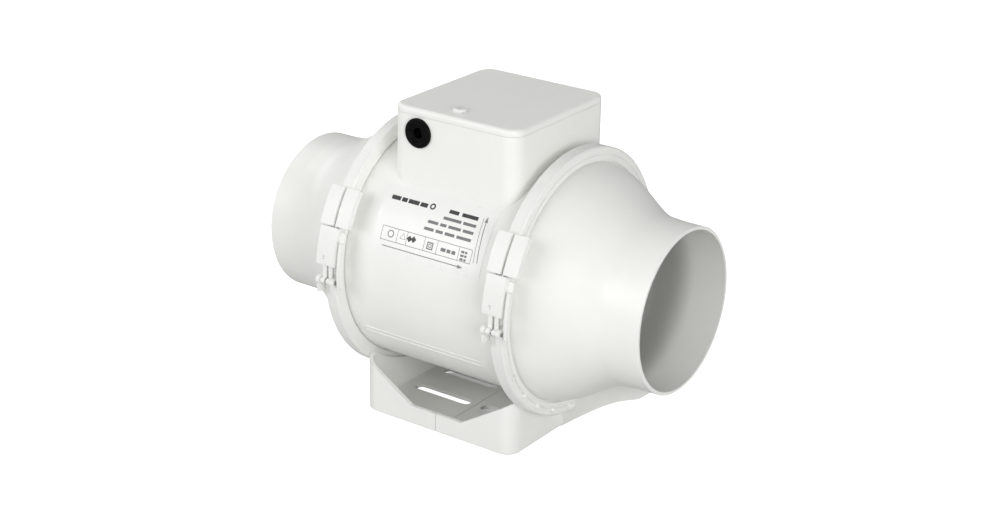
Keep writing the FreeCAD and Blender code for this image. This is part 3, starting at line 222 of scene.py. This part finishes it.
def enamelled_wire(name, pitch=0.7 * MM):
    """Wound copper: ridges of round wire that run round the duct axis, with painted shade in the grooves.
    """
    material, tree, shader = new_material(name)
    where = add(tree, "ShaderNodeTexCoord")
    split = add(tree, "ShaderNodeSeparateXYZ")
    shift = add(tree, "ShaderNodeVectorMath", operation="SUBTRACT")
    shift.inputs[1].default_value = (0.0, 0.0, AXIS_Z)
    tree.links.new(where.outputs["Object"], shift.inputs[0])
    flat = add(tree, "ShaderNodeVectorMath", operation="MULTIPLY")
    flat.inputs[1].default_value = (0.0, 1.0, 1.0)
    tree.links.new(shift.outputs["Vector"], flat.inputs[0])
    radius = add(tree, "ShaderNodeVectorMath", operation="LENGTH")
    tree.links.new(flat.outputs["Vector"], radius.inputs[0])
    tree.links.new(where.outputs["Object"], split.inputs["Vector"])
    total = add(tree, "ShaderNodeMath", operation="ADD")
    tree.links.new(radius.outputs["Value"], total.inputs[0])
    tree.links.new(split.outputs["X"], total.inputs[1])
    ridge = add(tree, "ShaderNodeMath", operation="PINGPONG")
    tree.links.new(total.outputs["Value"], ridge.inputs[0])
    ridge.inputs[1].default_value = 0.5 * pitch
    height = remap(tree, ridge.outputs["Value"], 0.0, 1.0, 0.0, 0.5 * pitch)
    # Painted shade: the copper is darkest in the grooves between turns and brightest on the crests.
    tree.links.new(mix_colors(tree, height, (0.16, 0.05, 0.015), (0.58, 0.22, 0.07)),
                   shader.inputs["Base Color"])
    shader.inputs["Metallic"].default_value = 0.55
    shader.inputs["Coat Weight"].default_value = 0.6
    shader.inputs["Coat Roughness"].default_value = 0.15
    blotch = noise(tree, 200.0, 3.0)
    tree.links.new(remap(tree, blotch, 0.28, 0.45), shader.inputs["Roughness"])
    bump_chain(tree, shader, [(height, 0.3 * MM, 0.9)])
    return material


def ink(name, color):
    """Printed ink: slightly uneven coverage."""
    material, tree, shader = new_material(name)
    coverage = noise(tree, 1500.0, 3.0)
    lighter = tuple(min(1.0, c + 0.05) for c in color)
    tree.links.new(mix_colors(tree, remap(tree, coverage, 0.0, 1.0), color, lighter),
                   shader.inputs["Base Color"])
    tree.links.new(remap(tree, coverage, 0.35, 0.5), shader.inputs["Roughness"])
    bump_chain(tree, shader, [(coverage, 0.01 * MM, 0.3)])
    return material


def seen_by_camera(tree):
    return add(tree, "ShaderNodeLightPath").outputs["Is Camera Ray"]


def distance_from(tree, centre, stretch=(1.0, 1.0, 1.0)):
    """Distance of the shaded point from a centre in the piece's own coordinates."""
    where = add(tree, "ShaderNodeTexCoord")
    shift = add(tree, "ShaderNodeVectorMath", operation="SUBTRACT")
    shift.inputs[1].default_value = centre
    tree.links.new(where.outputs["Object"], shift.inputs[0])
    scaled = add(tree, "ShaderNodeVectorMath", operation="MULTIPLY")
    scaled.inputs[1].default_value = stretch
    tree.links.new(shift.outputs["Vector"], scaled.inputs[0])
    length = add(tree, "ShaderNodeVectorMath", operation="LENGTH")
    tree.links.new(scaled.outputs["Vector"], length.inputs[0])
    return length.outputs["Value"]


def glow_share_with_painted_shadow(tree):
    """Share of the paper's glow: full in the open, low as a painted shadow under the foot, and full
    again as a painted patch of light under one slot.

    The front slot of the inlet half is meant to look bright and the other slots dim, so this painted
    shadow and light is a choice of look and not worked out from the lights.
    """
    # Painted shadow: the glow falls to a low share under the foot.
    edge = remap(tree, distance_from(tree, (0.0, 0.0, 0.0), PAINTED_SHADOW_STRETCH), PAINTED_SHADOW_GLOW, 1.0,
                 PAINTED_SHADOW_RADIUS - SHADE_EDGE, PAINTED_SHADOW_RADIUS)
    # Painted light: full glow again under the front slot of the inlet half.
    slot = remap(tree, distance_from(tree, PAINTED_SLOT_LIGHT_CENTRE), 1.0, PAINTED_SHADOW_GLOW,
                 PAINTED_SLOT_LIGHT_RADIUS - SHADE_EDGE, PAINTED_SLOT_LIGHT_RADIUS + SHADE_EDGE)
    brighter = add(tree, "ShaderNodeMath", operation="MAXIMUM")
    tree.links.new(edge, brighter.inputs[0])
    tree.links.new(slot, brighter.inputs[1])
    return brighter.outputs["Value"]


def floor_paper(name, color, glow):
    """Pale paper that glows to the camera only, so that it reads as a white backdrop."""
    material, tree, shader = new_material(name)
    fibre = noise(tree, 220.0, 6.0)
    slightly = tuple(0.985 * c for c in color)
    tree.links.new(mix_colors(tree, remap(tree, fibre, 0.0, 1.0), slightly, color),
                   shader.inputs["Base Color"])
    tree.links.new(remap(tree, fibre, 0.75, 0.9), shader.inputs["Roughness"])
    shader.inputs["Specular IOR Level"].default_value = 0.2
    shader.inputs["Emission Color"].default_value = (1.0, 1.0, 1.0, 1.0)
    lit = add(tree, "ShaderNodeMath", operation="MULTIPLY")
    tree.links.new(remap(tree, seen_by_camera(tree), 0.0, glow, 0.0, 1.0), lit.inputs[0])
    # The glow carries the painted shadow under the foot and the painted light under one slot.
    tree.links.new(glow_share_with_painted_shadow(tree), lit.inputs[1])
    tree.links.new(lit.outputs["Value"], shader.inputs["Emission Strength"])
    bump_chain(tree, shader, [(fibre, 0.1 * MM, 0.2)])
    return material


HOUSING_ROUGHNESS = 0.36
HOUSING_GRAIN = 0.35
WHITE = (0.935, 0.937, 0.905)
WHITE_SHADE = (0.90, 0.902, 0.87)
CLAMP = (0.93, 0.932, 0.905)
CLAMP_SHADE = (0.87, 0.872, 0.845)
FOOT = (0.89, 0.892, 0.865)
FOOT_SHADE = (0.85, 0.852, 0.825)
FAN_GREY = (0.62, 0.62, 0.605)
FAN_SHADE = (0.55, 0.55, 0.535)

SLOT_MATERIALS = {
    "housing_white": moulded_plastic("housing_plastic", WHITE, WHITE_SHADE, HOUSING_ROUGHNESS,
                                     grain=HOUSING_GRAIN),
    "foot_white": moulded_plastic("foot_plastic", FOOT, FOOT_SHADE, 0.42, grain=0.5),
    "clamp_white": moulded_plastic("clamp_plastic", CLAMP, CLAMP_SHADE, 0.42, grain=0.9),
    "fan_plastic": moulded_plastic("fan_plastic", FAN_GREY, FAN_SHADE, 0.45, grain=0.6),
    "seal_rubber": rubber("seal_rubber", (0.05, 0.05, 0.05)),
    "black_rubber": rubber("grommet_rubber", (0.001, 0.001, 0.001), 0.45, 0.1),
    "bright_steel": turned_steel("plated_steel", (0.62, 0.62, 0.63)),
    "screw_white": moulded_plastic("screw_coating", (0.88, 0.88, 0.87), (0.82, 0.82, 0.80), 0.3),
    "lamination_steel": lamination("lamination_steel"),
    "enamelled_copper": enamelled_wire("enamelled_wire"),
    "label_film": moulded_plastic("label_film", (0.925, 0.927, 0.905), (0.90, 0.902, 0.88), 0.3,
                                  grain=0.1, bevel=0.0, coat=0.3),
    "terminal_plastic": moulded_plastic("terminal_plastic", (0.72, 0.69, 0.58), (0.64, 0.60, 0.50), 0.5),
    "capacitor_case": moulded_plastic("capacitor_case", (0.55, 0.56, 0.58), (0.48, 0.49, 0.51), 0.35),
    "lead_sheath": rubber("lead_sheath", (0.16, 0.16, 0.17), 0.4),
}


def dress_cad_nodes():
    """Give every CAD node the finish of its material slot.

    The terminal box is made of touching wall solids, so its plastic has no edge rounding: that
    would draw a line along each joint.
    """
    plain_plastic = moulded_plastic("box_plastic", WHITE, WHITE_SHADE, HOUSING_ROUGHNESS,
                                    grain=HOUSING_GRAIN, bevel=0.0)
    for entry in frame["record"]["subparts"]:
        piece = frame["nodes"][entry["node"]]
        material = SLOT_MATERIALS[entry["material_slot"]]
        if entry["node"] == "terminal_box":
            material = plain_plastic
        piece.data.materials.clear()
        piece.data.materials.append(material)


# ---------------------------------------------------------------- mesh helpers
def piece_from(name, verts, faces, material, body, smooth=True):
    mesh = bpy.data.meshes.new(name)
    mesh.from_pydata([tuple(v) for v in verts], [], faces)
    mesh.update()
    piece = bpy.data.objects.new(name, mesh)
    bpy.context.scene.collection.objects.link(piece)
    mesh.materials.append(material)
    if smooth:
        for polygon in mesh.polygons:
            polygon.use_smooth = True
    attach(piece, body)
    return piece


def on_drum(x, phi, radius):
    """Point on a drum about the duct axis: x in mm along it, phi in degrees up from the front."""
    angle = math.radians(phi)
    return Vector((x * MM, -radius * math.cos(angle), AXIS_Z + radius * math.sin(angle)))


def patch(verts, faces, x0, x1, phi0, phi1, radius, skew=0.0):
    """Add a rectangle wrapped on the drum, in strips narrow enough to follow it."""
    strips = max(1, math.ceil(abs(phi1 - phi0) / 2.0))
    start = len(verts)
    for index in range(strips + 1):
        share = index / strips
        phi = phi0 + (phi1 - phi0) * share
        shift = skew * share
        verts.append(on_drum(x0 + shift, phi, radius))
        verts.append(on_drum(x1 + shift, phi, radius))
    for index in range(strips):
        a = start + 2 * index
        faces.append((a, a + 1, a + 3, a + 2))


def polygon_patch(verts, faces, corners, radius):
    """Add one small flat shape given by (x, phi) corners."""
    start = len(verts)
    verts.extend(on_drum(x, phi, radius) for x, phi in corners)
    faces.append(tuple(range(start, len(verts))))


# ---------------------------------------------------------------- generic marks on the label
# x is in mm along the duct, phi in degrees up from the front, sizes in mm.
PRINT_R = LABEL_R + 0.03 * MM
PHI_PER_MM = math.degrees(MM / LABEL_R)
TITLE_PHI = 39.6
SYMBOL_PHI = 23.8
BOX_TOP_PHI = 26.6
BOX_BOTTOM_PHI = 20.3
BOX_EDGES = (-31.0, -20.0, -13.4, -1.2, 7.6, 22.4, 31.0)
TEXT_RIGHT = 28.0
TEXT_ROWS = ((36.6, 6.0, (7, 5)), (33.2, -3.0, (5, 3, 6, 5)), (29.8, -4.0, (4, 3, 4, 6)))
RULE = 0.35
UPRIGHT = 0.3
SIDE_SKEW = -2.6
ROUND_SIDES = 20


def dashes(verts, faces, x0, x1, phi, height, pattern, gap=1.0):
    """A row of bars between x0 and x1 whose relative lengths follow the pattern."""
    room = (x1 - x0) - gap * (len(pattern) - 1)
    unit = room / sum(pattern)
    x = x0
    for share in pattern:
        patch(verts, faces, x, x + share * unit, phi, phi + height * PHI_PER_MM, PRINT_R)
        x += share * unit + gap


def ring_mark(verts, faces, x, phi, outer, inner, sides, turn=0.0):
    """A ring of sides, as an annulus on the label."""
    start = len(verts)
    for index in range(sides):
        angle = math.radians(360.0 * index / sides + turn)
        for radius in (inner, outer):
            verts.append(on_drum(x + radius * math.cos(angle),
                                 phi + radius * math.sin(angle) * PHI_PER_MM, PRINT_R))
    for index in range(sides):
        a = start + 2 * index
        b = start + 2 * ((index + 1) % sides)
        faces.append((a, a + 1, b + 1, b))


def label_marks():
    """Generic bars, boxes and arrows in place of any text."""
    bold_marks()
    fine_marks()
    rules()


def bold_marks():
    """A title of bars with a ring, a short pair of bars, and two filled diamonds."""
    verts, faces = [], []
    dashes(verts, faces, -32.0, -7.0, TITLE_PHI, 2.5, (5, 3, 6, 4), 0.9)
    ring_mark(verts, faces, -3.6, TITLE_PHI + 1.4, 1.9, 1.0, ROUND_SIDES)
    dashes(verts, faces, 8.0, 27.5, TITLE_PHI + 0.4, 2.2, (3, 5), 2.2)
    for x, phi in ((-11.4, SYMBOL_PHI), (-8.6, SYMBOL_PHI + 0.2)):
        diamond = [(x - 1.9, phi), (x, phi - 1.6), (x + 1.9, phi), (x, phi + 1.6)]
        polygon_patch(verts, faces, diamond, PRINT_R)
    piece_from("label_bold_marks", verts, faces, ink("black_ink", (0.02, 0.02, 0.022)), "housing")


def fine_marks():
    """Three rows of bars above, and the ring, triangle, square and bars in the boxes below."""
    verts, faces = [], []
    for phi, x0, pattern in TEXT_ROWS:
        dashes(verts, faces, x0, TEXT_RIGHT, phi, 1.7, pattern, 1.4)
    ring_mark(verts, faces, -24.5, SYMBOL_PHI, 2.2, 1.6, ROUND_SIDES)
    ring_mark(verts, faces, -16.0, SYMBOL_PHI, 2.4, 1.9, 3, 90.0)
    for outer, inner in ((3.0, 2.0), (1.4, 0.8)):
        ring_mark(verts, faces, 3.0, SYMBOL_PHI - 0.5, outer, inner, 4, 45.0)
    dashes(verts, faces, 10.5, 20.5, 22.4, 2.0, (4, 3, 3), 0.8)
    for step in range(3):
        dashes(verts, faces, 24.0, 28.2, 20.8 + 1.7 * step, 1.3, (3, 2), 0.5)
    piece_from("label_fine_marks", verts, faces, ink("grey_ink", (0.16, 0.16, 0.165)), "housing")


def rules():
    """The row of boxes, an arrow along the duct below it and an arrow up the label's right side."""
    verts, faces = [], []
    thin = RULE * PHI_PER_MM
    for phi in (BOX_TOP_PHI, BOX_BOTTOM_PHI):
        patch(verts, faces, BOX_EDGES[0], BOX_EDGES[-1], phi, phi + thin, PRINT_R)
    for x in BOX_EDGES:
        patch(verts, faces, x, x + UPRIGHT, BOX_BOTTOM_PHI, BOX_TOP_PHI, PRINT_R)
    patch(verts, faces, -29.0, 24.0, 17.6, 17.6 + 1.5 * thin, PRINT_R)
    polygon_patch(verts, faces, [(23.6, 16.9), (27.2, 17.8), (23.6, 18.7)], PRINT_R)
    patch(verts, faces, 35.4, 35.9, 21.5, 40.6, PRINT_R, skew=SIDE_SKEW)
    polygon_patch(verts, faces, [(32.0, 40.2), (34.2, 40.2), (33.0, 43.2)], PRINT_R)
    patch(verts, faces, 33.2, 33.5, 21.0, 42.0, PRINT_R, skew=SIDE_SKEW)
    piece_from("label_rules", verts, faces, ink("rule_ink", (0.22, 0.22, 0.225)), "housing")


# ---------------------------------------------------------------- stage
def make_floor():
    corners = [(-FLOOR_HALF, -FLOOR_HALF, 0), (FLOOR_HALF, -FLOOR_HALF, 0),
               (FLOOR_HALF, FLOOR_HALF, 0), (-FLOOR_HALF, FLOOR_HALF, 0)]
    mesh = bpy.data.meshes.new("floor")
    mesh.from_pydata(corners, [], [(0, 1, 2, 3)])
    floor = bpy.data.objects.new("floor", mesh)
    floor.location.z = -FLOOR_DROP
    bpy.context.scene.collection.objects.link(floor)
    mesh.materials.append(floor_paper("floor_paper", FLOOR_COLOR, FLOOR_GLOW))


def softbox(name, place, target, width, height, strength):
    """Area light whose strength is the radiance it gives a white surface that faces it."""
    aim = Vector(target) - Vector(place)
    light = bpy.data.lights.new(name, "AREA")
    light.shape = "RECTANGLE"
    light.size = width
    light.size_y = height
    light.energy = strength * math.pi ** 2 * aim.length_squared
    lamp = bpy.data.objects.new(name, light)
    lamp.location = place
    lamp.rotation_euler = aim.to_track_quat("-Z", "Y").to_euler()
    bpy.context.scene.collection.objects.link(lamp)


def make_world():
    """Even studio surroundings, darker overhead and white to the camera."""
    world = bpy.data.worlds.new("studio")
    world.use_nodes = True
    tree = world.node_tree
    background = tree.nodes["Background"]
    background.inputs["Color"].default_value = (1.0, 1.0, 1.0, 1.0)
    where = add(tree, "ShaderNodeTexCoord")
    split = add(tree, "ShaderNodeSeparateXYZ")
    tree.links.new(where.outputs["Generated"], split.inputs["Vector"])
    around = remap(tree, split.outputs["Z"], HORIZON_LIGHT, ZENITH_LIGHT, 0.0, 1.0)
    white = add(tree, "ShaderNodeMix", data_type="FLOAT")
    tree.links.new(seen_by_camera(tree), white.inputs["Factor"])
    tree.links.new(around, white.inputs["A"])
    white.inputs["B"].default_value = 1.0
    tree.links.new(white.outputs["Result"], background.inputs["Strength"])
    bpy.context.scene.world = world


def make_lights():
    middle = (0.0, 0.0, AXIS_Z)
    for name, place, width, height, strength in SOFTBOXES:
        softbox(name, place, middle, width, height, strength)


def make_camera():
    azimuth = math.radians(CAMERA_AZIMUTH)
    elevation = math.radians(CAMERA_ELEVATION)
    roll = math.radians(CAMERA_ROLL)
    back = Vector((math.sin(azimuth) * math.cos(elevation), -math.cos(azimuth) * math.cos(elevation),
                   math.sin(elevation)))
    level = Vector((math.cos(azimuth), math.sin(azimuth), 0.0))
    upright = back.cross(level)
    right = math.cos(roll) * level + math.sin(roll) * upright
    up = back.cross(right)
    camera = bpy.data.objects.new("camera", bpy.data.cameras.new("camera"))
    camera.matrix_world = Matrix((
        (right.x, up.x, back.x, CAMERA_PLACE[0]),
        (right.y, up.y, back.y, CAMERA_PLACE[1]),
        (right.z, up.z, back.z, CAMERA_PLACE[2]),
        (0.0, 0.0, 0.0, 1.0),
    ))
    camera.data.sensor_width = SENSOR_WIDTH
    camera.data.lens = CAMERA_LENS
    camera.data.clip_start = 0.05
    bpy.context.scene.collection.objects.link(camera)
    bpy.context.scene.camera = camera


make_camera()
make_world()
make_lights()
make_floor()
dress_cad_nodes()
label_marks()

bpy.context.scene.view_settings.view_transform = "Standard"
